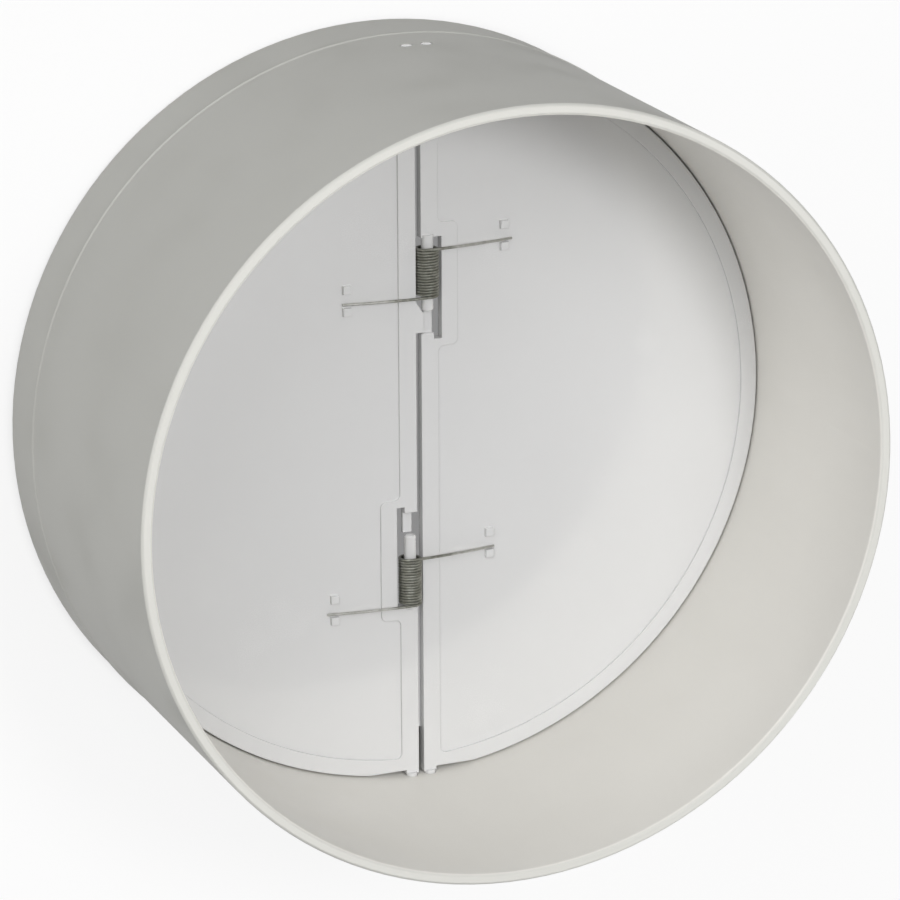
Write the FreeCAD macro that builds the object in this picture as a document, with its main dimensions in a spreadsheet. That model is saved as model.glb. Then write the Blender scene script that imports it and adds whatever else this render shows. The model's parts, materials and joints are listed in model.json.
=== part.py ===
import FreeCAD, Part

import math
import os

import Sketcher

# Duct backdraft damper: a moulded ring with two spring-closed half-round flaps, in millimetres.
# +Z runs along the duct from the rear rim to the front rim, in the direction of the air.
# The origin is the centre of the rear rim, and both hinge axes lie along Y.

DIMENSIONS = [
    # Ring
    ("ring_outer_radius", 74.0),
    ("ring_wall", 2.1),
    ("ring_length", 75.5),
    ("rim_chamfer", 0.45),
    ("parting_height", 13.0),
    ("parting_width", 1.2),
    ("parting_rise", 0.22),
    # Seat ledge behind the flaps
    ("ledge_width", 3.0),
    ("ledge_thickness", 1.6),
    ("ledge_break", 11.0),
    # Hinge line
    ("pivot_height", 22.8),
    ("hinge_offset", 1.95),
    ("centre_gap", 1.1),
    ("stub_radius", 1.1),
    ("stub_inset", 0.1),
    ("stub_root_length", 0.3),
    ("pivot_clearance", 0.05),
    ("tab_margin", 0.1),
    # Flap panel
    ("flap_thickness", 1.5),
    ("edge_clearance", 0.4),
    ("end_relief_depth", 1.25),
    ("border_rise", 0.4),
    ("border_width", 3.2),
    ("hinge_border_width", 3.5),
    ("border_corner_round", 1.2),
    # Spring peg and its notch
    ("peg_radius", 1.2),
    ("peg_tip_radius", 0.95),
    ("peg_tip_length", 0.35),
    ("peg_length", 14.4),
    ("peg_root_length", 0.6),
    ("notch_start", 17.7),
    ("notch_length", 18.9),
    ("slot_extension", 1.2),
    ("coil_side_gap", 0.5),
    ("coil_end_gap", 0.15),
    ("notch_border_width", 3.3),
    ("notch_border_end", 2.7),
    # Thin web in front of the peg, and the left flap's tongue beside it
    ("web_thickness", 0.8),
    ("web_gap", 0.25),
    ("tongue_reach", 1.05),
    ("tongue_root_width", 1.1),
    ("tongue_thickness", 0.8),
    ("tongue_end_gap", 0.3),
    ("tongue_tip_length", 3.7),
    ("tongue_root_length", 6.2),
    # Torsion spring
    ("wire_diameter", 0.55),
    ("coil_turns", 18),
    ("coil_radius", 2.3),
    ("upper_slide", 1.6),
    ("valley_depth", 0.2),
    ("leg_inset", 0.06),
    ("near_leg_reach", 19.2),
    ("far_leg_reach", 15.4),
    # Catch posts for the spring legs
    ("post_length", 1.6),
    ("post_width", 1.6),
    ("post_height", 0.8),
    ("post_gap", 2.7),
    ("near_catch_reach", 17.7),
    ("near_catch_station", 35.4),
    ("far_catch_reach", 14.5),
    ("far_catch_station", 25.95),
]


class Size:
    """A number together with the spreadsheet expression that gives it."""

    def __init__(self, value, text):
        self.value = value
        self.text = text

    def join(self, other, sign, value):
        return Size(value, f"({self.text} {sign} {as_size(other).text})")

    def __add__(self, other):
        return self.join(other, "+", self.value + as_size(other).value)

    def __sub__(self, other):
        return self.join(other, "-", self.value - as_size(other).value)

    def __mul__(self, other):
        return self.join(other, "*", self.value * as_size(other).value)

    def __truediv__(self, other):
        return self.join(other, "/", self.value / as_size(other).value)

    def __neg__(self):
        return Size(-self.value, f"(-{self.text})")


def as_size(number):
    if isinstance(number, Size):
        return number
    return Size(float(number), str(number))


def diagonal(run, drop):
    """Length of a straight wire over a run with a drop."""
    return Size(math.hypot(run.value, drop.value), f"sqrt({run.text}^2 + {drop.text}^2)")


doc = FreeCAD.newDocument("BackdraftDamper")
sheet = doc.addObject("Spreadsheet::Sheet", "Dimensions")
dim = {}
for row, (alias, number) in enumerate(DIMENSIONS, start=1):
    sheet.set(f"A{row}", alias)
    sheet.set(f"B{row}", str(number))
    sheet.setAlias(f"B{row}", alias)
    dim[alias] = Size(number, f"Dimensions.{alias}")
doc.recompute()

# Sizes shared by pieces that fit each other
ring_inner_radius = dim["ring_outer_radius"] - dim["ring_wall"]
flap_radius = ring_inner_radius - dim["edge_clearance"]
flap_edge = dim["centre_gap"] / 2
flap_end = ring_inner_radius - dim["end_relief_depth"]
coil_length = dim["coil_turns"] * dim["wire_diameter"]
wire_radius = dim["wire_diameter"] / 2
coil_mean_radius = dim["coil_radius"] - wire_radius
notch_end = dim["notch_start"] + dim["notch_length"]
lower_coil_start = notch_end - dim["coil_end_gap"] - coil_length
upper_coil_start = lower_coil_start - dim["upper_slide"]
notch_side = dim["hinge_offset"] + dim["coil_radius"] + dim["coil_side_gap"]


def bind(item, **sizes):
    for name, size in sizes.items():
        item.setExpression(name, as_size(size).text)


def add_body(label):
    body = doc.addObject("PartDesign::Body", label)
    body.Label = label
    return body


def add_sketch(body, name, role, **offsets):
    """A sketch on one of the body's origin planes, moved by offsets in the plane's own axes."""
    sketch = body.newObject("Sketcher::SketchObject", name)
    plane = next(item for item in body.Origin.OriginFeatures if item.Role == role)
    sketch.AttachmentSupport = (plane, [""])
    sketch.MapMode = "FlatFace"
    for axis, size in offsets.items():
        sketch.setExpression(f".AttachmentOffset.Base.{axis}", size.text)
    return sketch


def pin_distance(sketch, kind, geometry, end, size):
    """Hold one coordinate of a point of a sketch element at a size."""
    size = as_size(size)
    if size.value == 0:
        axis = {"DistanceX": -2, "DistanceY": -1}[kind]
        sketch.addConstraint(Sketcher.Constraint("PointOnObject", geometry, end, axis))
        return
    index = sketch.addConstraint(Sketcher.Constraint(kind, -1, 1, geometry, end, size.value))
    sketch.setExpression(f"Constraints[{index}]", size.text)


def pin_point(sketch, geometry, end, place):
    pin_distance(sketch, "DistanceX", geometry, end, place[0])
    pin_distance(sketch, "DistanceY", geometry, end, place[1])


def pin_radius(sketch, geometry, radius):
    index = sketch.addConstraint(Sketcher.Constraint("Radius", geometry, radius.value))
    sketch.setExpression(f"Constraints[{index}]", radius.text)


def vector(place):
    return FreeCAD.Vector(as_size(place[0]).value, as_size(place[1]).value, 0)


def draw_polygon(sketch, corners):
    first = sketch.GeometryCount
    count = len(corners)
    for index, corner in enumerate(corners):
        following = corners[(index + 1) % count]
        sketch.addGeometry(Part.LineSegment(vector(corner), vector(following)))
    for index in range(count):
        following = first + (index + 1) % count
        sketch.addConstraint(Sketcher.Constraint("Coincident", first + index, 2, following, 1))
    for index, corner in enumerate(corners):
        pin_point(sketch, first + index, 1, corner)


def draw_rectangle(sketch, left, right, low, high):
    draw_polygon(sketch, [(left, low), (right, low), (right, high), (left, high)])


def draw_circle(sketch, centre, radius):
    circle = Part.Circle(vector(centre), FreeCAD.Vector(0, 0, 1), radius.value)
    geometry = sketch.addGeometry(circle)
    pin_point(sketch, geometry, 3, centre)
    pin_radius(sketch, geometry, radius)


def draw_half_disc(sketch, radius, edge, jog=()):
    """A half disc about the duct axis whose straight edge may step round a list of jog corners."""
    half_chord = math.sqrt(radius.value**2 - edge.value**2)
    corners = [(edge, -half_chord), *jog, (edge, half_chord)]
    for start, finish in zip(corners, corners[1:]):
        sketch.addGeometry(Part.LineSegment(vector(start), vector(finish)))
    last = sketch.GeometryCount - 1
    circle = Part.Circle(FreeCAD.Vector(0, 0, 0), FreeCAD.Vector(0, 0, 1), radius.value)
    half_angle = math.acos(edge.value / radius.value)
    arc = sketch.addGeometry(Part.ArcOfCircle(circle, -half_angle, half_angle))
    for index in range(last):
        sketch.addConstraint(Sketcher.Constraint("Coincident", index, 2, index + 1, 1))
    sketch.addConstraint(Sketcher.Constraint("Coincident", arc, 3, -1, 1))
    sketch.addConstraint(Sketcher.Constraint("Coincident", arc, 1, 0, 1))
    sketch.addConstraint(Sketcher.Constraint("Coincident", arc, 2, last, 2))
    pin_radius(sketch, arc, radius)
    pin_distance(sketch, "DistanceX", 0, 1, edge)
    pin_distance(sketch, "DistanceX", last, 2, edge)
    for index, corner in enumerate(jog, start=1):
        pin_point(sketch, index, 1, corner)


def add_feature(body, kind, name, sketch, **sizes):
    feature = body.newObject(f"PartDesign::{kind}", name)
    feature.Profile = sketch
    bind(feature, **sizes)
    return feature


def revolve(body, name, sketch, axis="V_Axis"):
    feature = body.newObject("PartDesign::Revolution", name)
    feature.Profile = sketch
    feature.ReferenceAxis = (sketch, [axis])
    feature.Angle = 360
    return feature


def dress_edges(body, kind, name, base, wanted, **sizes):
    """Chamfer or fillet the edges of a feature that a test picks out."""
    doc.recompute()
    names = [f"Edge{number}" for number, edge in enumerate(base.Shape.Edges, start=1) if wanted(edge)]
    dressing = body.newObject(f"PartDesign::{kind}", name)
    dressing.Base = (base, names)
    bind(dressing, **sizes)


def is_rim(edge):
    """Circular edges of the ring's two ends."""
    box = edge.BoundBox
    at_end = abs(box.ZMin) < 1e-6 or abs(box.ZMax - dim["ring_length"].value) < 1e-6
    return at_end and box.ZLength < 1e-6


def is_border_corner(edge):
    """Upright edges in the corners of a flap's sunk field."""
    box = edge.BoundBox
    return box.XLength < 1e-6 and box.YLength < 1e-6 and abs(box.ZLength - dim["border_rise"].value) < 1e-6


def make_housing():
    body = add_body("housing")

    # Ring wall with the fine ridge of the mould's parting line
    wall = add_sketch(body, "WallProfile", "XZ_Plane")
    outer = dim["ring_outer_radius"]
    parting_low = dim["parting_height"] - dim["parting_width"] / 2
    parting_high = dim["parting_height"] + dim["parting_width"] / 2
    draw_polygon(wall, [
        (ring_inner_radius, 0),
        (outer, 0),
        (outer, parting_low),
        (outer + dim["parting_rise"], dim["parting_height"]),
        (outer, parting_high),
        (outer, dim["ring_length"]),
        (ring_inner_radius, dim["ring_length"]),
    ])
    ring = revolve(body, "Wall", wall)
    dress_edges(body, "Chamfer", "RimChamfers", ring, is_rim, Size=dim["rim_chamfer"])

    # Seat ledge, tapered below for the mould, broken off beside the hinge ends
    seat = dim["pivot_height"] - dim["flap_thickness"]
    ledge_under = seat - dim["ledge_thickness"]
    overlap = dim["ring_wall"] / 2
    ledge = add_sketch(body, "LedgeProfile", "XZ_Plane")
    draw_polygon(ledge, [
        (ring_inner_radius + overlap, ledge_under - dim["ledge_width"]),
        (ring_inner_radius + overlap, seat),
        (ring_inner_radius - dim["ledge_width"], seat),
        (ring_inner_radius - dim["ledge_width"], ledge_under),
        (ring_inner_radius, ledge_under - dim["ledge_width"]),
    ])
    half_ledge = revolve(body, "HalfLedge", ledge)
    half_ledge.Midplane = True
    half_ledge.setExpression(
        "Angle", f"2 * acos({dim['ledge_break'].text} / {ring_inner_radius.text})"
    )
    both_ledges = body.newObject("PartDesign::Mirrored", "BothLedges")
    both_ledges.Originals = [half_ledge]
    plane = next(item for item in body.Origin.OriginFeatures if item.Role == "YZ_Plane")
    both_ledges.MirrorPlane = (plane, [""])
    body.Tip = both_ledges

    # Pivot holes right through the wall, two above and two below
    holes = add_sketch(body, "PivotHoleCircles", "XZ_Plane")
    hole_radius = dim["stub_radius"] + dim["pivot_clearance"]
    for side in (-dim["hinge_offset"], dim["hinge_offset"]):
        draw_circle(holes, (side, dim["pivot_height"]), hole_radius)
    pivot_holes = add_feature(body, "Pocket", "PivotHoles", holes)
    pivot_holes.Type = "ThroughAll"
    pivot_holes.Midplane = True
    return body


def place_on_hinge(body, turn):
    """Set a body that was drawn about the pivot plane into the ring, turned about the duct axis."""
    body.Placement = FreeCAD.Placement(
        FreeCAD.Vector(0, 0, dim["pivot_height"].value),
        FreeCAD.Rotation(FreeCAD.Vector(0, 0, 1), turn),
    )
    body.setExpression(".Placement.Base.z", dim["pivot_height"].text)


def make_flap(label, turn, has_tongue):
    """One flap, drawn on the +X side with the pivot axis at the level of its front face."""
    body = add_body(label)
    hinge = dim["hinge_offset"]

    # Half-round panel up to the top of the border
    panel_sketch = add_sketch(body, "PanelOutline", "XY_Plane", z=-dim["flap_thickness"])
    draw_half_disc(panel_sketch, flap_radius, flap_edge)
    panel_depth = dim["flap_thickness"] + dim["border_rise"]
    add_feature(body, "Pad", "Panel", panel_sketch, Length=panel_depth)

    # Both ends are cut straight, clear of the ring, beside a tab at the hinge
    tab_side = hinge + dim["stub_radius"] + dim["tab_margin"]
    relief_sketch = add_sketch(body, "EndReliefOutline", "XY_Plane", z=dim["border_rise"])
    for low, high in ((flap_end, flap_radius), (-flap_radius, -flap_end)):
        draw_rectangle(relief_sketch, tab_side, flap_radius / 2, low, high)
    add_feature(body, "Pocket", "EndRelief", relief_sketch, Length=panel_depth)

    # Field sunk inside the raised border, which widens round the notch
    border_edge = flap_edge + dim["hinge_border_width"]
    notch_border = notch_side + dim["notch_border_width"]
    jog_low = dim["notch_start"] - dim["notch_border_end"]
    jog_high = notch_end + dim["notch_border_end"]
    field_sketch = add_sketch(body, "FieldOutline", "XY_Plane", z=dim["border_rise"])
    draw_half_disc(field_sketch, flap_radius - dim["border_width"], border_edge, [
        (border_edge, jog_low),
        (notch_border, jog_low),
        (notch_border, jog_high),
        (border_edge, jog_high),
    ])
    field = add_feature(body, "Pocket", "Field", field_sketch, Length=dim["border_rise"])
    corner_round = dim["border_corner_round"]
    dress_edges(body, "Fillet", "FieldCorners", field, is_border_corner, Radius=corner_round)

    # Notch for the spring coil, with a slot along its far side
    slot_side = hinge + dim["peg_radius"]
    slot_start = dim["notch_start"] - dim["slot_extension"]
    notch_sketch = add_sketch(body, "NotchOutline", "XY_Plane", z=dim["border_rise"])
    draw_polygon(notch_sketch, [
        (0, dim["notch_start"]),
        (slot_side, dim["notch_start"]),
        (slot_side, slot_start),
        (notch_side, slot_start),
        (notch_side, notch_end),
        (0, notch_end),
    ])
    add_feature(body, "Pocket", "Notch", notch_sketch, Length=panel_depth)

    # Thin web at the back of the notch that keeps the spring on its peg
    peg_tip = notch_end - dim["peg_length"]
    web_sketch = add_sketch(body, "WebOutline", "XY_Plane", z=-dim["flap_thickness"])
    web_edge = dim["tongue_reach"] + dim["web_gap"]
    draw_rectangle(web_sketch, web_edge, slot_side, slot_start, peg_tip - dim["web_gap"])
    add_feature(body, "Pad", "Web", web_sketch, Length=dim["web_thickness"])

    # Tongue that reaches across the gap, level with the border
    if has_tongue:
        tongue_start = dim["notch_start"] + dim["tongue_end_gap"]
        root = flap_edge + dim["tongue_root_width"]
        tongue_level = dim["border_rise"] - dim["tongue_thickness"]
        tongue_sketch = add_sketch(body, "TongueOutline", "XY_Plane", z=tongue_level)
        draw_polygon(tongue_sketch, [
            (root, -tongue_start),
            (root, -(tongue_start + dim["tongue_root_length"])),
            (flap_edge, -(tongue_start + dim["tongue_root_length"])),
            (-dim["tongue_reach"], -(tongue_start + dim["tongue_tip_length"])),
            (-dim["tongue_reach"], -tongue_start),
        ])
        add_feature(body, "Pad", "Tongue", tongue_sketch, Length=dim["tongue_thickness"])

    # Pivot stub at each end of the hinge edge
    pivot_sketch = add_sketch(body, "PivotProfile", "XY_Plane", x=hinge)
    stub_start = flap_radius - dim["stub_root_length"]
    stub_end = dim["ring_outer_radius"] - dim["stub_inset"]
    for mirror in (1, -1):
        draw_polygon(pivot_sketch, [
            (0, stub_start * mirror),
            (dim["stub_radius"], stub_start * mirror),
            (dim["stub_radius"], stub_end * mirror),
            (0, stub_end * mirror),
        ])
    revolve(body, "Pivots", pivot_sketch)

    # Spring peg on the pivot axis, rooted at the outer end of the notch
    peg_sketch = add_sketch(body, "PegProfile", "XY_Plane", x=hinge)
    draw_polygon(peg_sketch, [
        (0, peg_tip),
        (dim["peg_tip_radius"], peg_tip),
        (dim["peg_radius"], peg_tip + dim["peg_tip_length"]),
        (dim["peg_radius"], notch_end + dim["peg_root_length"]),
        (0, notch_end + dim["peg_root_length"]),
    ])
    revolve(body, "Peg", peg_sketch)

    # Pairs of catch posts that hold the tips of the spring legs
    post_sketch = add_sketch(body, "PostOutlines", "XY_Plane")
    catches = (
        (dim["near_catch_reach"], dim["near_catch_station"]),
        (dim["far_catch_reach"], -dim["far_catch_station"]),
    )
    for reach, station in catches:
        left = reach - dim["post_length"] / 2
        right = reach + dim["post_length"] / 2
        inner = station - dim["post_gap"] / 2
        outer = station + dim["post_gap"] / 2
        draw_rectangle(post_sketch, left, right, inner - dim["post_width"], inner)
        draw_rectangle(post_sketch, left, right, outer, outer + dim["post_width"])
    add_feature(body, "Pad", "CatchPosts", post_sketch, Length=dim["post_height"])

    place_on_hinge(body, turn)
    return body


def add_leg(body, name, side, reach, place):
    """A straight wire leg from the top of the coil down to a flap's face."""
    run = reach - dim["hinge_offset"] * side
    drop = coil_mean_radius - wire_radius
    leg = body.newObject("PartDesign::AdditiveCylinder", name)
    bind(leg, Radius=wire_radius, Height=diagonal(run, drop))
    leg.Placement = FreeCAD.Placement(FreeCAD.Vector(), FreeCAD.Rotation(FreeCAD.Vector(0, side, 0), 90))
    leg.setExpression(".Placement.Base.x", dim["hinge_offset"].text)
    leg.setExpression(".Placement.Base.y", place.text)
    leg.setExpression(".Placement.Base.z", coil_mean_radius.text)
    leg.setExpression(".Placement.Rotation.Angle", f"90 deg + atan({drop.text} / {run.text})")
    return leg


def make_spring(label, turn, coil_start):
    """Close-wound torsion spring on a flap's peg, with its legs on the front faces of both flaps."""
    body = add_body(label)
    hinge = dim["hinge_offset"]
    coil_end = coil_start + coil_length

    # Close turns side by side, each with its crest at the middle of the wire
    coil_sketch = add_sketch(body, "CoilProfile", "XY_Plane", x=hinge)
    coil_bore = dim["coil_radius"] - dim["wire_diameter"]
    coil_valley = dim["coil_radius"] - dim["valley_depth"]
    profile = [(coil_bore, coil_end), (coil_bore, coil_start), (coil_valley, coil_start)]
    for turns_before in range(dim["coil_turns"].value):
        turn_start = coil_start + dim["wire_diameter"] * turns_before
        profile.append((dim["coil_radius"], turn_start + wire_radius))
        profile.append((coil_valley, turn_start + dim["wire_diameter"]))
    draw_polygon(coil_sketch, profile)
    revolve(body, "Coil", coil_sketch)

    leg_margin = wire_radius + dim["leg_inset"]
    add_leg(body, "NearLeg", 1, dim["near_leg_reach"], coil_end - leg_margin)
    add_leg(body, "FarLeg", -1, dim["far_leg_reach"], coil_start + leg_margin)
    place_on_hinge(body, turn)
    return body


sub_parts = [make_housing()]
sub_parts.append(make_flap("flap_right", 0, has_tongue=False))
sub_parts.append(make_spring("spring_upper", 0, upper_coil_start))
sub_parts.append(make_flap("flap_left", 180, has_tongue=True))
sub_parts.append(make_spring("spring_lower", 180, lower_coil_start))
doc.recompute()

for item in doc.Objects:
    if "Invalid" in item.State or "Error" in item.State:
        raise RuntimeError(f"{item.Label} failed: {item.getStatusString()}")
for body in sub_parts:
    if body.Shape.isNull() or not body.Shape.isValid() or len(body.Shape.Solids) != 1:
        raise RuntimeError(f"{body.Label} is not one valid solid")

os.makedirs("parts", exist_ok=True)
for body in sub_parts:
    body.Shape.exportStep(f"parts/{body.Label}.step")
    box = body.Shape.optimalBoundingBox()
    size = f"{box.XLength:.1f} x {box.YLength:.1f} x {box.ZLength:.1f} mm"
    print(f"{body.Label}: {body.Shape.Volume:.1f} mm3, {size}")
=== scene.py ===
import json
import math

import bpy
from bpy.props import FloatProperty, FloatVectorProperty, IntProperty, PointerProperty
from mathutils import Matrix, Vector


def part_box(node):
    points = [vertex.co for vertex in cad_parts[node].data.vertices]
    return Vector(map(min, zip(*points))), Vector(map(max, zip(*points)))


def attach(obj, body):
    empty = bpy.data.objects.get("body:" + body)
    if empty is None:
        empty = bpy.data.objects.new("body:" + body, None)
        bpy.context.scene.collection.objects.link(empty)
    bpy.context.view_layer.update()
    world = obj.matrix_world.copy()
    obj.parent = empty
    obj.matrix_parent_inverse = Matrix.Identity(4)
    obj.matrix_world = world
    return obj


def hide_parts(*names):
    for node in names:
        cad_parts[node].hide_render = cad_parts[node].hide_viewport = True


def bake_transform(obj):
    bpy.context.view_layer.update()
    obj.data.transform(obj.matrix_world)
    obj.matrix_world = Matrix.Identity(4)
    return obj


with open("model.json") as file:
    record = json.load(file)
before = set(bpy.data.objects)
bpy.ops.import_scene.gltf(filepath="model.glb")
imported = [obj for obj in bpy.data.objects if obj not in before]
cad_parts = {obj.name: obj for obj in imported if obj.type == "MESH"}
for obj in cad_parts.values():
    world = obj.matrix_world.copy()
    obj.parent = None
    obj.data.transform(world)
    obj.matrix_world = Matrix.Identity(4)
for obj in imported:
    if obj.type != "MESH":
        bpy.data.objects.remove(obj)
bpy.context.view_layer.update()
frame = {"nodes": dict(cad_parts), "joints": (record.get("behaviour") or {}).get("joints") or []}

bl_info = {
    "name": "Duct Backdraft Damper",
    "version": (1, 0, 0),
    "blender": (4, 5, 0),
    "location": "View3D > Sidebar > Damper",
    "description": "Finishes a duct damper: moulded ring and flaps, wire springs and a stage",
    "category": "Object",
}

# Lengths and places are in metres. A pair is the start and the end of a soft step.

# A spring sits on the peg of one flap and reaches over to the face of the other.
SPRINGS = {
    "spring_upper": {"carrier": "flap_right", "other": "flap_left", "side": 1},
    "spring_lower": {"carrier": "flap_left", "other": "flap_right", "side": -1},
}
STEPS_PER_TURN = 32
STEPS_PER_LEG = 14
# Share of a leg's reach at which its bend is steered.
LEG_BEND = 0.45

# The ring's rim takes most of the outside's tint of painted shade, and the outer wall takes all
# of it.
RIM_RADIUS = (0.0720, 0.0722)
WALL_RADIUS = (0.0735, 0.0738)
RIM_SHARE = 0.7
# Levels of the noise between which clouds, handling and oil fade in.
CLOUDS = (0.35, 0.70)
RING_HANDLING = (0.45, 0.75)
FLAP_HANDLING = (0.35, 0.80)
OIL_PATCHES = (0.38, 0.68)
# Size of a speck in its cell, and the lots of the few cells that hold one.
SPECK_SIZE = (0.012, 0.030)
SPECK_LOT = (0.86, 0.90)
SPECK_SHARE = 0.8
# How far the softened normal turns from the true one along an edge, as 1 - cosine.
EDGE_TURN = (0.02, 0.30)
# Distances from the hinge line between which the coil's oil and painted shade give way to the
# clean legs.
OIL_AND_SHADE_REACH = (0.0045, 0.0075)
PLASTIC_IOR = 1.5

# The Mix node has a set of sockets for each kind of value. These are the ones for colours.
MIX_SHARE, MIX_FIRST, MIX_SECOND, MIX_RESULT = 0, 6, 7, 2

FLOOR_HALF = 4.0
# How white the floor shows: around the ring; inside it, where the lower white is painted shade;
# and on top of that, painted light at its low end.
AROUND_RADIUS = (0.070, 0.076)
LOW_END = (-0.065, -0.035)
WHITE_AROUND = 0.85
WHITE_IN_PAINTED_SHADE = 0.24
PAINTED_LIGHT_AT_LOW_END = 0.20
# Heights of a view direction between which the room turns from dim to bright.
ROOM_HEIGHT = (0.0, 0.8)

# Place and width of each lamp. All are aimed at the middle of the ring.
LAMPS = {
    "key": ((0.11, 0.31, 1.10), 0.72),
    "core": ((0.11, 0.31, 1.10), 0.26),
    "side": ((-0.575, 0.635, 0.77), 0.55),
    "left_fill": ((-1.035, 0.23, 0.46), 0.55),
    "right_fill": ((0.90, -0.52, 0.46), 0.55),
    "near_fill": ((-0.55, -0.70, 0.72), 0.55),
    "back_fill": ((0.80, -0.80, 0.24), 0.55),
}
LAMP_AIM = Vector((0, 0, 0.03))

SENSOR_WIDTH = 36.0
CAMERA_PLACE = (-0.321913, 0.269874, 0.816405)
CAMERA_RIGHT = (0.92348, -0.00427, 0.38362)
CAMERA_UP = (0.12117, 0.95200, -0.28110)
CAMERA_BACK = (-0.36401, 0.30607, 0.87967)


def hinge_place(body):
    """A point on the hinge axis of a flap."""
    joint = next(joint for joint in frame["joints"] if joint["child"] == body)
    return Vector(joint["pos_m"])


def coil_radius():
    """Outside radius of the coils, from the solid of one of them."""
    low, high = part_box("spring_upper")
    return (high.z - low.z) / 2


class HousingSettings(bpy.types.PropertyGroup):
    colour: FloatVectorProperty(
        name="Plastic", description="Colour of the ring's plastic",
        subtype="COLOR", size=3, min=0, max=1, default=(0.866, 0.850, 0.806))
    shade: FloatVectorProperty(
        name="Shade", description="Colour of the duller clouds in the plastic",
        subtype="COLOR", size=3, min=0, max=1, default=(0.826, 0.810, 0.766))
    # Painted shade: this tint darkens the outside and most of the rim, where less light falls.
    outside: FloatVectorProperty(
        name="Outside", description="Tint of the shaded outside of the ring",
        subtype="COLOR", size=3, min=0, max=1, default=(0.834, 0.848, 0.842))
    speck: FloatVectorProperty(
        name="Speck", description="Colour of the rare specks on the plastic",
        subtype="COLOR", size=3, min=0, max=1, default=(0.36, 0.34, 0.30))
    worn: FloatVectorProperty(
        name="Worn edge", description="Colour of the plastic along worn edges",
        subtype="COLOR", size=3, min=0, max=1, default=(0.74, 0.74, 0.72))
    wear: FloatProperty(
        name="Wear", description="How much of the worn colour shows on the edges",
        subtype="FACTOR", min=0, max=1, default=0.30)
    roughness: FloatProperty(
        name="Roughness", description="Roughness where the plastic is cleanest",
        subtype="FACTOR", min=0, max=1, default=0.40)
    smudge: FloatProperty(
        name="Smudge", description="Roughness that handling adds in patches",
        subtype="FACTOR", min=0, max=1, default=0.14)
    outside_dull: FloatProperty(
        name="Outside dulling", description="Roughness that the whole outside has on top",
        subtype="FACTOR", min=0, max=1, default=0.14)
    edge_round: FloatProperty(
        name="Edge round", description="Softening of the moulded edges",
        subtype="DISTANCE", unit="LENGTH", min=0, default=0.0004)


class FlapSettings(bpy.types.PropertyGroup):
    colour: FloatVectorProperty(
        name="Plastic", description="Colour of the flaps' plastic",
        subtype="COLOR", size=3, min=0, max=1, default=(0.758, 0.759, 0.763))
    shade: FloatVectorProperty(
        name="Shade", description="Colour of the duller clouds in the plastic",
        subtype="COLOR", size=3, min=0, max=1, default=(0.737, 0.738, 0.742))
    worn: FloatVectorProperty(
        name="Worn edge", description="Colour of the plastic along worn edges",
        subtype="COLOR", size=3, min=0, max=1, default=(0.84, 0.84, 0.84))
    wear: FloatProperty(
        name="Wear", description="How much of the worn colour shows on the edges",
        subtype="FACTOR", min=0, max=1, default=0.25)
    roughness: FloatProperty(
        name="Roughness", description="Roughness where the plastic is cleanest",
        subtype="FACTOR", min=0, max=1, default=0.20)
    smudge: FloatProperty(
        name="Smudge", description="Roughness that handling adds in patches",
        subtype="FACTOR", min=0, max=1, default=0.05)
    edge_round: FloatProperty(
        name="Edge round", description="Softening of the moulded edges",
        subtype="DISTANCE", unit="LENGTH", min=0, default=0.00025)


class SpringSettings(bpy.types.PropertyGroup):
    wire: FloatProperty(
        name="Wire", description="Diameter of the spring wire",
        subtype="DISTANCE", unit="LENGTH", min=0.0001, default=0.00055)
    outside: FloatProperty(
        name="Coil radius", description="Outside radius of the coil",
        subtype="DISTANCE", unit="LENGTH", min=0.001, default=coil_radius())
    turns: IntProperty(
        name="Turns", description="Whole turns between the two legs", min=2, default=17)
    colour: FloatVectorProperty(
        name="Steel", description="Colour of the drawn wire",
        subtype="COLOR", size=3, min=0, max=1, default=(0.66, 0.66, 0.635))
    # Besides the oily film, this colour paints the shade among the coil's turns.
    tarnish_and_shade: FloatVectorProperty(
        name="Tarnish", description="Colour of the oily film on the coil",
        subtype="COLOR", size=3, min=0, max=1, default=(0.32, 0.325, 0.285))
    roughness: FloatProperty(
        name="Roughness", description="Roughness of the drawn wire",
        subtype="FACTOR", min=0, max=1, default=0.34)


class StageSettings(bpy.types.PropertyGroup):
    floor: FloatVectorProperty(
        name="Floor", description="Colour of the floor",
        subtype="COLOR", size=3, min=0, max=1, default=(0.90, 0.90, 0.90))
    shadow_tone: FloatVectorProperty(
        name="Shadow tone", description="Colour of the light that the floor throws back",
        subtype="COLOR", size=3, min=0, max=1, default=(0.25, 0.25, 0.25))
    key: FloatProperty(
        name="Key", description="Power of the soft lamp above the open end",
        subtype="POWER", unit="POWER", min=0, default=2.5)
    core: FloatProperty(
        name="Core", description="Power of the small lamp at the middle of the soft one",
        subtype="POWER", unit="POWER", min=0, default=3.7)
    side: FloatProperty(
        name="Side", description="Power of the lamp at the upper left",
        subtype="POWER", unit="POWER", min=0, default=3.0)
    left_fill: FloatProperty(
        name="Left fill", description="Power of the low lamp at the left",
        subtype="POWER", unit="POWER", min=0, default=2.3)
    right_fill: FloatProperty(
        name="Right fill", description="Power of the low lamp at the right",
        subtype="POWER", unit="POWER", min=0, default=1.45)
    near_fill: FloatProperty(
        name="Near fill", description="Power of the lamp at the lower left",
        subtype="POWER", unit="POWER", min=0, default=0.8)
    back_fill: FloatProperty(
        name="Back fill", description="Power of the low lamp at the lower right",
        subtype="POWER", unit="POWER", min=0, default=3.2)
    zenith: FloatProperty(
        name="Zenith", description="Brightness of the room overhead", min=0, default=0.22)
    horizon: FloatProperty(
        name="Horizon", description="Brightness of the room at eye level", min=0, default=0.02)
    lens: FloatProperty(
        name="Lens", description="Focal length of the camera",
        subtype="DISTANCE_CAMERA", unit="CAMERA", min=10, default=187.9)


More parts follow.
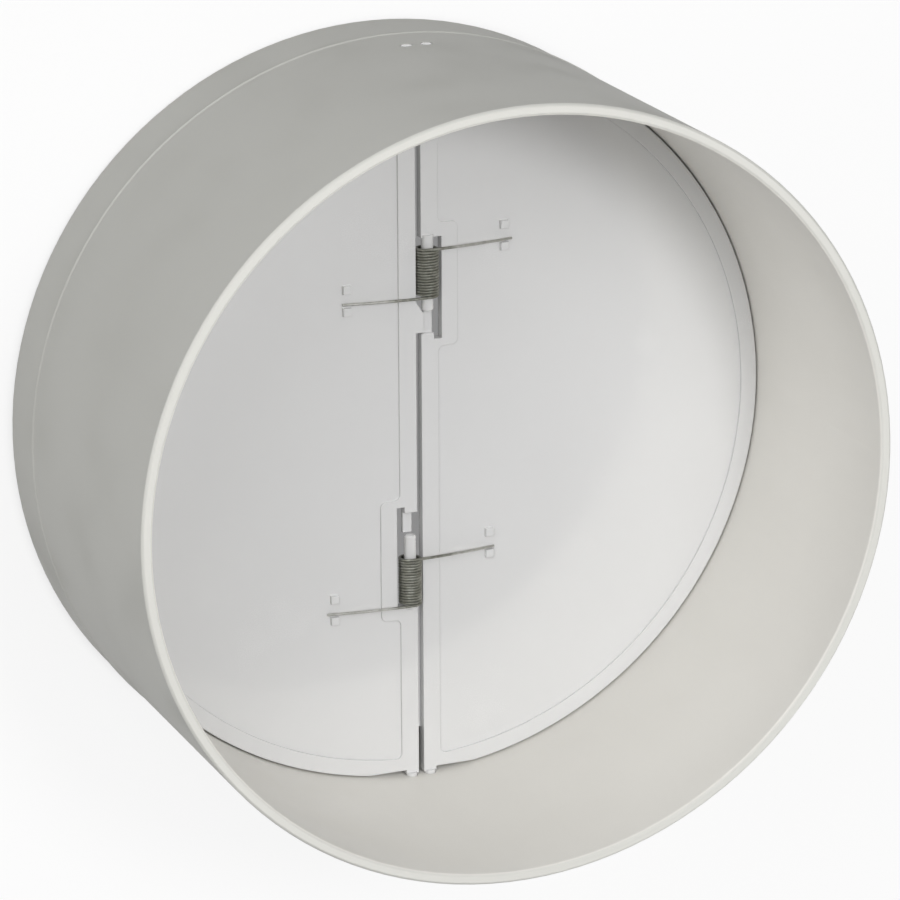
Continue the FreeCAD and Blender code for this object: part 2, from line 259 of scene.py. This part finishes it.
class DamperSettings(bpy.types.PropertyGroup):
    housing: PointerProperty(type=HousingSettings)
    flaps: PointerProperty(type=FlapSettings)
    springs: PointerProperty(type=SpringSettings)
    stage: PointerProperty(type=StageSettings)


class Signal:
    """One output of a shader node. Arithmetic on it adds Math nodes."""

    def __init__(self, finish, socket):
        self.finish = finish
        self.socket = socket

    def output(self, name):
        """Another output of the same node."""
        return Signal(self.finish, self.socket.node.outputs[name])

    def reckon(self, operation, first, second):
        return self.finish.node("ShaderNodeMath", {"operation": operation}, {0: first, 1: second})

    def __add__(self, other):
        return self.reckon("ADD", self, other)

    def __radd__(self, other):
        return self.reckon("ADD", other, self)

    def __sub__(self, other):
        return self.reckon("SUBTRACT", self, other)

    def __rsub__(self, other):
        return self.reckon("SUBTRACT", other, self)

    def __mul__(self, other):
        return self.reckon("MULTIPLY", self, other)

    def __rmul__(self, other):
        return self.reckon("MULTIPLY", other, self)

    def step(self, low, high):
        """A soft step from 0 at low to 1 at high."""
        return self.finish.node(
            "ShaderNodeMapRange", {"interpolation_type": "SMOOTHSTEP"},
            {"Value": self, "From Min": low, "From Max": high})


class Finish:
    """The node tree of one material, or of the world."""

    def __init__(self, owner):
        owner.use_nodes = True
        self.tree = owner.node_tree
        self.tree.nodes.clear()

    def node(self, kind, settings=None, sockets=None):
        """Add a node with its settings, then the values or links of its sockets."""
        node = self.tree.nodes.new(kind)
        for name, value in (settings or {}).items():
            setattr(node, name, value)
        for key, value in (sockets or {}).items():
            if isinstance(value, Signal):
                self.tree.links.new(value.socket, node.inputs[key])
            else:
                node.inputs[key].default_value = value
        outputs = [output for output in node.outputs if output.enabled]
        return Signal(self, outputs[0]) if outputs else None

    def place(self):
        """Where a point lies on the object."""
        return self.node("ShaderNodeTexCoord").output("Object")

    def stretched(self, place, scale):
        return self.node("ShaderNodeVectorMath", {"operation": "MULTIPLY"}, {0: place, 1: scale})

    def length(self, place):
        """Distance of a place from the middle of the object."""
        reach = self.node("ShaderNodeVectorMath", {"operation": "LENGTH"}, {0: place})
        return reach.output("Value")

    def along(self, axis, place):
        """One coordinate of a place or direction."""
        return self.node("ShaderNodeSeparateXYZ", {}, {0: place}).output(axis)

    def noise(self, place, scale, detail):
        return self.node(
            "ShaderNodeTexNoise", {}, {"Vector": place, "Scale": scale, "Detail": detail})

    def mix(self, share, first, second, blend="MIX"):
        """Blend of two colours."""
        return self.node(
            "ShaderNodeMix", {"data_type": "RGBA", "blend_type": blend},
            {MIX_SHARE: share, MIX_FIRST: first, MIX_SECOND: second}).output(MIX_RESULT)

    def softened(self, radius):
        """Normals rounded over the edges."""
        return self.node("ShaderNodeBevel", {"samples": 6}, {"Radius": radius})

    def edges(self, softened):
        """High along the edges, where the softened normal leaves the true one."""
        plain = self.node("ShaderNodeNewGeometry").output("Normal")
        agreement = self.node(
            "ShaderNodeVectorMath", {"operation": "DOT_PRODUCT"}, {0: softened, 1: plain})
        return (1 - agreement.output("Value")).step(*EDGE_TURN)

    def bump(self, height, distance, strength, normal=None):
        """Normals tilted by a fine relief."""
        sockets = {"Height": height, "Distance": distance, "Strength": strength}
        if normal is not None:
            sockets["Normal"] = normal
        return self.node("ShaderNodeBump", {}, sockets)

    def blended(self, share, first, second):
        """Blend of two shaders."""
        return self.node("ShaderNodeMixShader", {}, {0: share, 1: first, 2: second})

    def surface(self, shader):
        self.node("ShaderNodeOutputMaterial", {}, {"Surface": shader})


def opaque(colour):
    return (*colour, 1.0)


def new_finish(name):
    material = bpy.data.materials.new(name)
    return material, Finish(material)


def housing_plastic(look):
    """Warm semi-gloss plastic with soft clouds, draw marks along the mould and rare specks, and
    painted shade on the outside and rim.
    """
    material, finish = new_finish("housing_plastic")
    place = finish.place()
    drawn_place = finish.stretched(place, (1.0, 1.0, 0.04))
    clouds = finish.noise(place, scale=26.0, detail=3.0).step(*CLOUDS)
    draw_marks = finish.noise(drawn_place, scale=420.0, detail=2.0)
    handling = finish.noise(place, scale=55.0, detail=4.0).step(*RING_HANDLING)
    peel = finish.noise(place, scale=260.0, detail=1.0)
    grain = finish.noise(place, scale=5200.0, detail=1.0)

    cells = finish.node("ShaderNodeTexVoronoi", {}, {"Vector": place, "Scale": 70.0})
    lot = finish.node("ShaderNodeSeparateColor", {}, {"Color": cells.output("Color")})
    specks = (1 - cells.step(*SPECK_SIZE)) * lot.step(*SPECK_LOT)

    # Painted shade: this mask darkens the outer wall and most of the rim with the outside tint.
    # The same mask dulls their roughness.
    radius = finish.length(finish.stretched(place, (1.0, 1.0, 0.0)))
    outside = radius.step(*RIM_RADIUS) * RIM_SHARE + radius.step(*WALL_RADIUS) * (1 - RIM_SHARE)

    softened = finish.softened(look.edge_round)
    dullness = clouds * 0.5 + draw_marks * 0.25
    inner = finish.mix(dullness, opaque(look.colour), opaque(look.shade))
    # Painted shade multiplied into the colour of the rim and the outer wall.
    body = finish.mix(outside, inner, opaque(look.outside), "MULTIPLY")
    marked = finish.mix(specks * SPECK_SHARE, body, opaque(look.speck))
    worn = finish.mix(finish.edges(softened) * look.wear, marked, opaque(look.worn))
    roughness = look.roughness + handling * look.smudge + outside * look.outside_dull
    relief = peel * 0.6 + draw_marks * 0.25 + grain * 0.15
    finish.surface(finish.node("ShaderNodeBsdfPrincipled", {}, {
        "Base Color": worn,
        "Roughness": roughness + grain * 0.05,
        "IOR": PLASTIC_IOR,
        "Normal": finish.bump(relief, distance=0.00006, strength=0.5, normal=softened),
    }))
    return material


def flap_plastic(look):
    """Cool white glossy plastic with a fine even grain and handling marks."""
    material, finish = new_finish("flap_plastic")
    place = finish.place()
    clouds = finish.noise(place, scale=32.0, detail=3.0).step(*CLOUDS)
    handling = finish.noise(place, scale=45.0, detail=2.0).step(*FLAP_HANDLING)
    peel = finish.noise(place, scale=180.0, detail=1.0)
    grain = finish.noise(place, scale=6400.0, detail=1.0)

    softened = finish.softened(look.edge_round)
    body = finish.mix(clouds * 0.6, opaque(look.colour), opaque(look.shade))
    worn = finish.mix(finish.edges(softened) * look.wear, body, opaque(look.worn))
    relief = peel * 0.7 + grain * 0.3
    finish.surface(finish.node("ShaderNodeBsdfPrincipled", {}, {
        "Base Color": worn,
        "Roughness": look.roughness + handling * look.smudge + grain * 0.06,
        "IOR": PLASTIC_IOR,
        "Coat Weight": 1.0,
        "Coat Roughness": 0.12,
        "Coat IOR": 1.9,
        "Normal": finish.bump(relief, distance=0.00005, strength=0.4, normal=softened),
    }))
    return material


def spring_steel(look):
    """Drawn steel wire, clean along the legs, and on the coil darker with oil and painted shade.
    """
    material, finish = new_finish("spring_steel")
    place = finish.place()
    patches = finish.noise(place, scale=900.0, detail=3.0).step(*OIL_PATCHES)
    scratches = finish.noise(place, scale=9000.0, detail=2.0)
    across = finish.along("X", place)
    oil_and_shade_end, leg_start = OIL_AND_SHADE_REACH
    # Painted shade and oil: the whole coil takes most of the tarnish colour. The patches add real
    # oil on coil and legs.
    on_coil = 1 - (across * across).step(oil_and_shade_end ** 2, leg_start ** 2)
    oil_and_coil_shade = on_coil * (0.75 + patches * 0.25) + patches * 0.25
    finish.surface(finish.node("ShaderNodeBsdfPrincipled", {}, {
        "Base Color": finish.mix(oil_and_coil_shade, opaque(look.colour), opaque(look.tarnish_and_shade)),
        "Metallic": 1.0,
        "Roughness": look.roughness + patches * 0.12 + scratches * 0.08,
        "Normal": finish.bump(scratches, distance=0.00001, strength=0.4),
    }))
    return material


def dress(node, material):
    """Give a CAD node its finish."""
    materials = frame["nodes"][node].data.materials
    materials.clear()
    materials.append(material)


def wire_piece(name, points, radius, material):
    """A round wire along a line of points, as a mesh."""
    line = bpy.data.curves.new(name, "CURVE")
    line.dimensions = "3D"
    line.bevel_depth = radius
    line.bevel_resolution = 3
    line.use_fill_caps = True
    spline = line.splines.new("POLY")
    spline.points.add(len(points) - 1)
    for target, point in zip(spline.points, points):
        target.co = (*point, 1.0)
    holder = bpy.data.objects.new(name, line)
    mesh = bpy.data.meshes.new_from_object(holder)
    bpy.data.objects.remove(holder)
    bpy.data.curves.remove(line)
    for face in mesh.polygons:
        face.use_smooth = True
    mesh.materials.clear()
    mesh.materials.append(material)
    piece = bpy.data.objects.new(name, mesh)
    bpy.context.scene.collection.objects.link(piece)
    return piece


def coil_points(centre, radius, first_y, last_y, turns, side):
    """A helix about a line along Y. It starts and ends at its top.

    The wire on top runs away from the other flap.
    """
    count = turns * STEPS_PER_TURN
    points = []
    for step in range(count + 1):
        angle = 2 * math.pi * step / STEPS_PER_TURN
        along = first_y + (last_y - first_y) * step / count
        offset = Vector((side * radius * math.sin(angle), 0, radius * math.cos(angle)))
        points.append(Vector((centre.x, along, centre.z)) + offset)
    return points


def leg_points(root, tip):
    """A leg that leaves the coil level and bends down towards its tip."""
    bend = Vector((root.x + (tip.x - root.x) * LEG_BEND, root.y, root.z))
    points = []
    for step in range(1, STEPS_PER_LEG + 1):
        t = step / STEPS_PER_LEG
        points.append(root * (1 - t) ** 2 + bend * 2 * t * (1 - t) + tip * t ** 2)
    return points


class DAMPER_OT_finish_housing(bpy.types.Operator):
    """Give the ring its plastic"""
    bl_idname = "damper.finish_housing"
    bl_label = "Finish Housing"

    def execute(self, context):
        dress("housing", housing_plastic(context.scene.damper.housing))
        return {"FINISHED"}


class DAMPER_OT_finish_flaps(bpy.types.Operator):
    """Give both flaps their plastic"""
    bl_idname = "damper.finish_flaps"
    bl_label = "Finish Flaps"

    def execute(self, context):
        material = flap_plastic(context.scene.damper.flaps)
        for node in ("flap_right", "flap_left"):
            dress(node, material)
        return {"FINISHED"}


class DAMPER_OT_wind_springs(bpy.types.Operator):
    """Wind both springs from round wire and hook their legs on the flaps"""
    bl_idname = "damper.wind_springs"
    bl_label = "Wind Springs"

    def execute(self, context):
        look = context.scene.damper.springs
        material = spring_steel(look)
        for node, place in SPRINGS.items():
            self.wind(node, place["carrier"], place["other"], place["side"], look, material)
        return {"FINISHED"}

    def wind(self, node, carrier, other, side, look, material):
        """One spring: its coil with the near leg, and its far leg."""
        low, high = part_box(node)
        axis = hinge_place(carrier)
        wire_radius = look.wire / 2
        mean_radius = look.outside - wire_radius
        ends = sorted((low.y, high.y), key=abs)
        first_y = ends[0] + side * wire_radius
        last_y = ends[1] - side * wire_radius
        coil = coil_points(axis, mean_radius, first_y, last_y, look.turns, side)
        far_x, near_x = (low.x, high.x) if side > 0 else (high.x, low.x)
        face_z = axis.z + wire_radius
        far_leg = leg_points(coil[0], Vector((far_x, first_y, face_z)))
        near_leg = leg_points(coil[-1], Vector((near_x, last_y, face_z)))

        # The turn next to the far leg stays with that leg, so the coil can twist beside it.
        far_line = far_leg[::-1] + coil[:STEPS_PER_TURN + 1]
        far = wire_piece(f"{node}_far_leg", far_line, wire_radius, material)
        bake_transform(far)
        wound_line = coil[STEPS_PER_TURN:] + near_leg
        wound = wire_piece(f"{node}_coil", wound_line, wire_radius, material)
        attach(wound, carrier)
        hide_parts(node)


class DAMPER_OT_set_stage(bpy.types.Operator):
    """Lay the floor, hang the lamps and place the camera"""
    bl_idname = "damper.set_stage"
    bl_label = "Set Stage"

    def execute(self, context):
        look = context.scene.damper.stage
        self.lay_floor(look)
        self.light_room(context.scene, look)
        for name, (place, width) in LAMPS.items():
            lamp = self.add_lamp(f"{name}_lamp", place, width, getattr(look, name))
            # The core gives the ring's shadow its edge. A flat flap would mirror it as white.
            lamp.visible_glossy = name != "core"
        self.place_camera(context.scene, look)
        context.scene.view_settings.view_transform = "Standard"
        return {"FINISHED"}

    def lay_floor(self, look):
        """A wide pale floor that shows white and keeps the object's shadow, with painted shade
        inside the ring and painted light at its low end.
        """
        mesh = bpy.data.meshes.new("floor")
        signs = ((-1, -1), (1, -1), (1, 1), (-1, 1))
        corners = [(x * FLOOR_HALF, y * FLOOR_HALF, 0) for x, y in signs]
        mesh.from_pydata(corners, [], [(0, 1, 2, 3)])
        floor = bpy.data.objects.new("floor", mesh)
        bpy.context.scene.collection.objects.link(floor)

        material, finish = new_finish("floor_paper")
        ray = finish.node("ShaderNodeLightPath")
        kinds = ("Is Camera Ray", "Is Glossy Ray", "Is Transmission Ray")
        in_camera, in_gloss, in_glass = (ray.output(kind) for kind in kinds)
        shown = (in_camera + in_gloss + in_glass).step(0.0, 1.0)

        place = finish.place()
        around = finish.length(place).step(*AROUND_RADIUS)
        # Painted shade under the ring, lifted by painted light towards its low end.
        low_end_painted_light = 1 - finish.along("Y", place).step(*LOW_END)
        inside_painted_level = WHITE_IN_PAINTED_SHADE + low_end_painted_light * PAINTED_LIGHT_AT_LOW_END
        share = shown * (inside_painted_level + around * (WHITE_AROUND - inside_painted_level))

        bounced = finish.node("ShaderNodeBsdfDiffuse", {}, {"Color": opaque(look.shadow_tone)})
        seen = finish.node("ShaderNodeBsdfDiffuse", {}, {"Color": opaque(look.floor)})
        white = finish.node("ShaderNodeEmission", {}, {"Strength": 1.0})
        paper = finish.blended(shown, bounced, seen)
        finish.surface(finish.blended(share, paper, white))
        mesh.materials.append(material)

    def light_room(self, scene, look):
        """An even room, brighter overhead than at eye level."""
        world = bpy.data.worlds.new("room")
        finish = Finish(world)
        direction = finish.node("ShaderNodeTexCoord").output("Generated")
        overhead = finish.along("Z", direction).step(*ROOM_HEIGHT)
        dim, bright = (
            finish.node("ShaderNodeBackground", {}, {"Color": (1, 1, 1, 1), "Strength": strength})
            for strength in (look.horizon, look.zenith))
        room = finish.blended(overhead, dim, bright)
        finish.node("ShaderNodeOutputWorld", {}, {"Surface": room})
        scene.world = world

    def add_lamp(self, name, place, width, power):
        lamp = bpy.data.lights.new(name, "AREA")
        lamp.shape = "DISK"
        lamp.size = width
        lamp.energy = power
        holder = bpy.data.objects.new(name, lamp)
        holder.location = place
        aim = LAMP_AIM - holder.location
        holder.rotation_euler = aim.to_track_quat("-Z", "Y").to_euler()
        bpy.context.scene.collection.objects.link(holder)
        return holder

    def place_camera(self, scene, look):
        """The photograph's viewpoint: above, to the left and towards the top of the ring."""
        camera = bpy.data.cameras.new("camera")
        camera.sensor_width = SENSOR_WIDTH
        camera.lens = look.lens
        holder = bpy.data.objects.new("camera", camera)
        turn = Matrix((CAMERA_RIGHT, CAMERA_UP, CAMERA_BACK)).transposed()
        holder.matrix_world = Matrix.LocRotScale(CAMERA_PLACE, turn, None)
        scene.collection.objects.link(holder)
        scene.camera = holder


class DAMPER_PT_sidebar(bpy.types.Panel):
    """Lists the damper's steps"""
    bl_idname = "DAMPER_PT_sidebar"
    bl_label = "Backdraft Damper"
    bl_space_type = "VIEW_3D"
    bl_region_type = "UI"
    bl_category = "Damper"

    def draw(self, context):
        for operator in OPERATORS:
            self.layout.operator(operator.bl_idname)


OPERATORS = (
    DAMPER_OT_finish_housing,
    DAMPER_OT_finish_flaps,
    DAMPER_OT_wind_springs,
    DAMPER_OT_set_stage,
)
CLASSES = (
    HousingSettings,
    FlapSettings,
    SpringSettings,
    StageSettings,
    DamperSettings,
    *OPERATORS,
    DAMPER_PT_sidebar,
)


def register():
    for item in CLASSES:
        bpy.utils.register_class(item)
    bpy.types.Scene.damper = PointerProperty(type=DamperSettings)


def unregister():
    del bpy.types.Scene.damper
    for item in reversed(CLASSES):
        bpy.utils.unregister_class(item)


def main():
    register()
    bpy.ops.damper.finish_housing()
    bpy.ops.damper.finish_flaps()
    bpy.ops.damper.wind_springs()
    bpy.ops.damper.set_stage()


if __name__ == "__main__":
    main()
